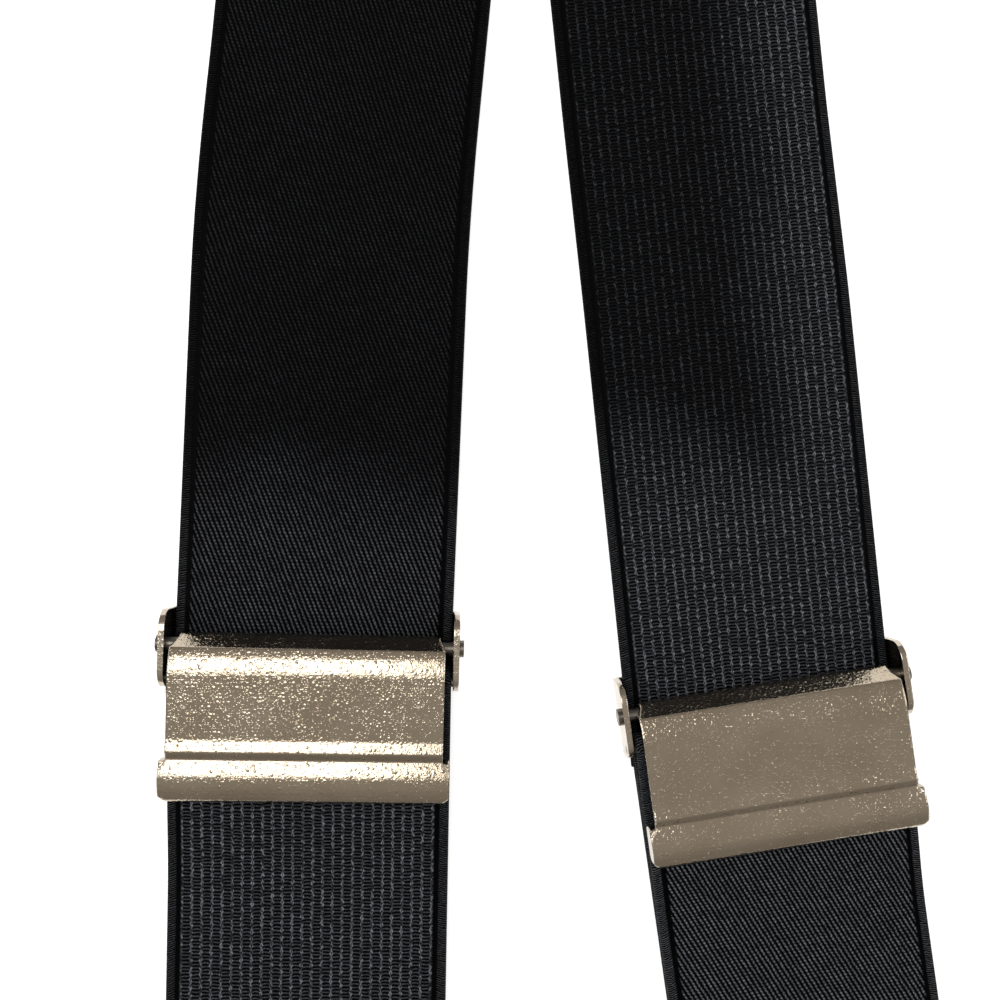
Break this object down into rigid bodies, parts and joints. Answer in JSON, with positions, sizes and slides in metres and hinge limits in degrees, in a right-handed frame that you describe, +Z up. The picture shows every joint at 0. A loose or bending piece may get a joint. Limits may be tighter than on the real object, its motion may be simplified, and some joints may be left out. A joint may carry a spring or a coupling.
{
  "type": "suspenders",
  "caption": "X-back elastic suspenders laid flat: wide woven straps with metal lever adjusters, trouser clips at the ends and a leather patch where they cross.",
  "frame": {"origin": "centre of the back patch's underside, where the two straps cross", "axes": "+X to the left strap's rear end side, +Y along the suspenders from the front clips to the rear clips, +Z up out of the straps' outer faces"},
  "size_m": [0.2118, 0.9056, 0.0091],
  "materials": {
    "webbing": "woven elastic, black",
    "thread": "polyester thread, black",
    "nickel": "nickel plate, lightly orange-peeled",
    "pad_plastic": "black moulded plastic",
    "leather": "black grained leather"
  },
  "bodies": {
    "webbing": {"strap_left": "webbing", "strap_right": "webbing", "patch_top": "leather", "patch_bottom": "leather", "patch_stitching": "thread", "rear_stitching_left": "thread", "rear_stitching_right": "thread", "lower_run_left": "webbing", "lower_run_right": "webbing"},
    "adjuster_left": {"adjuster_base_left": "nickel", "adjuster_pin_left": "nickel", "return_bar_left": "nickel", "return_run_left": "webbing", "return_stitching_left": "thread"},
    "adjuster_lever_left": {"adjuster_lever_left": "nickel"},
    "front_turn_left": {"clip_turn_left": "webbing"},
    "front_clip_left": {"front_clip_left_base": "nickel", "front_clip_left_pin": "nickel", "front_clip_left_pad": "pad_plastic"},
    "front_clip_lever_left": {"front_clip_left_lever": "nickel"},
    "rear_clip_left": {"rear_clip_left_base": "nickel", "rear_clip_left_pin": "nickel", "rear_clip_left_pad": "pad_plastic"},
    "rear_clip_lever_left": {"rear_clip_left_lever": "nickel"},
    "adjuster_right": {"adjuster_base_right": "nickel", "adjuster_pin_right": "nickel", "return_bar_right": "nickel", "return_run_right": "webbing", "return_stitching_right": "thread"},
    "adjuster_lever_right": {"adjuster_lever_right": "nickel"},
    "front_turn_right": {"clip_turn_right": "webbing"},
    "front_clip_right": {"front_clip_right_base": "nickel", "front_clip_right_pin": "nickel", "front_clip_right_pad": "pad_plastic"},
    "front_clip_lever_right": {"front_clip_right_lever": "nickel"},
    "rear_clip_right": {"rear_clip_right_base": "nickel", "rear_clip_right_pin": "nickel", "rear_clip_right_pad": "pad_plastic"},
    "rear_clip_lever_right": {"rear_clip_right_lever": "nickel"}
  },
  "joints": [
    {"name": "adjuster_left_slide", "type": "slide", "parent": "webbing", "child": "adjuster_left", "axis": [0.0419, 0.9991, 0], "range_m": [0, 0.045], "deforming": ["return_run_left", "lower_run_left"]},
    {"name": "adjuster_lever_left_hinge", "type": "hinge", "parent": "adjuster_left", "child": "adjuster_lever_left", "pos_m": [-0.02889, -0.41487, 0.00475], "axis": [-0.9997, 0.0262, 0], "range_deg": [0, 100]},
    {"name": "front_turn_left_slide", "type": "slide", "parent": "adjuster_left", "child": "front_turn_left", "axis": [0.0175, 0.9998, 0], "range_m": [-0.0225, 0]},
    {"name": "front_clip_left_swing", "type": "hinge", "parent": "front_turn_left", "child": "front_clip_left", "pos_m": [-0.03098, -0.53485, 0.00275], "axis": [-0.9998, 0.0175, 0], "range_deg": [0, 75]},
    {"name": "front_clip_left_lever_hinge", "type": "hinge", "parent": "front_clip_left", "child": "front_clip_lever_left", "pos_m": [-0.03128, -0.55185, 0.00435], "axis": [-0.9998, 0.0175, 0], "range_deg": [0, 80]},
    {"name": "rear_clip_left_swing", "type": "hinge", "parent": "webbing", "child": "rear_clip_left", "pos_m": [0.08269, 0.28838, 0.00275], "axis": [0.9613, -0.2756, 0], "range_deg": [0, 75]},
    {"name": "rear_clip_left_lever_hinge", "type": "hinge", "parent": "rear_clip_left", "child": "rear_clip_lever_left", "pos_m": [0.08738, 0.30472, 0.00435], "axis": [0.9613, -0.2756, 0], "range_deg": [0, 80]},
    {"name": "adjuster_right_slide", "type": "slide", "parent": "webbing", "child": "adjuster_right", "axis": [-0.1045, 0.9945, 0], "range_m": [0, 0.045], "deforming": ["return_run_right", "lower_run_right"]},
    {"name": "adjuster_lever_right_hinge", "type": "hinge", "parent": "adjuster_right", "child": "adjuster_lever_right", "pos_m": [0.03331, -0.42207, 0.00475], "axis": [-0.9898, -0.1426, 0], "range_deg": [0, 100]},
    {"name": "front_turn_right_slide", "type": "slide", "parent": "adjuster_right", "child": "front_turn_right", "axis": [-0.1426, 0.9898, 0], "range_m": [-0.0225, 0]},
    {"name": "front_clip_right_swing", "type": "hinge", "parent": "front_turn_right", "child": "front_clip_right", "pos_m": [0.05043, -0.54085, 0.00275], "axis": [-0.9898, -0.1426, 0], "range_deg": [0, 75]},
    {"name": "front_clip_right_lever_hinge", "type": "hinge", "parent": "front_clip_right", "child": "front_clip_lever_right", "pos_m": [0.05285, -0.55767, 0.00435], "axis": [-0.9898, -0.1426, 0], "range_deg": [0, 80]},
    {"name": "rear_clip_right_swing", "type": "hinge", "parent": "webbing", "child": "rear_clip_right", "pos_m": [-0.08269, 0.28838, 0.00275], "axis": [0.9613, 0.2756, 0], "range_deg": [0, 75]},
    {"name": "rear_clip_right_lever_hinge", "type": "hinge", "parent": "rear_clip_right", "child": "rear_clip_lever_right", "pos_m": [-0.08738, 0.30472, 0.00435], "axis": [0.9613, 0.2756, 0], "range_deg": [0, 80]}
  ],
  "couplings": [
    {"joint": "front_turn_left_slide", "follows": "adjuster_left_slide", "ratio": -0.5},
    {"joint": "front_turn_right_slide", "follows": "adjuster_right_slide", "ratio": -0.5}
  ]
}
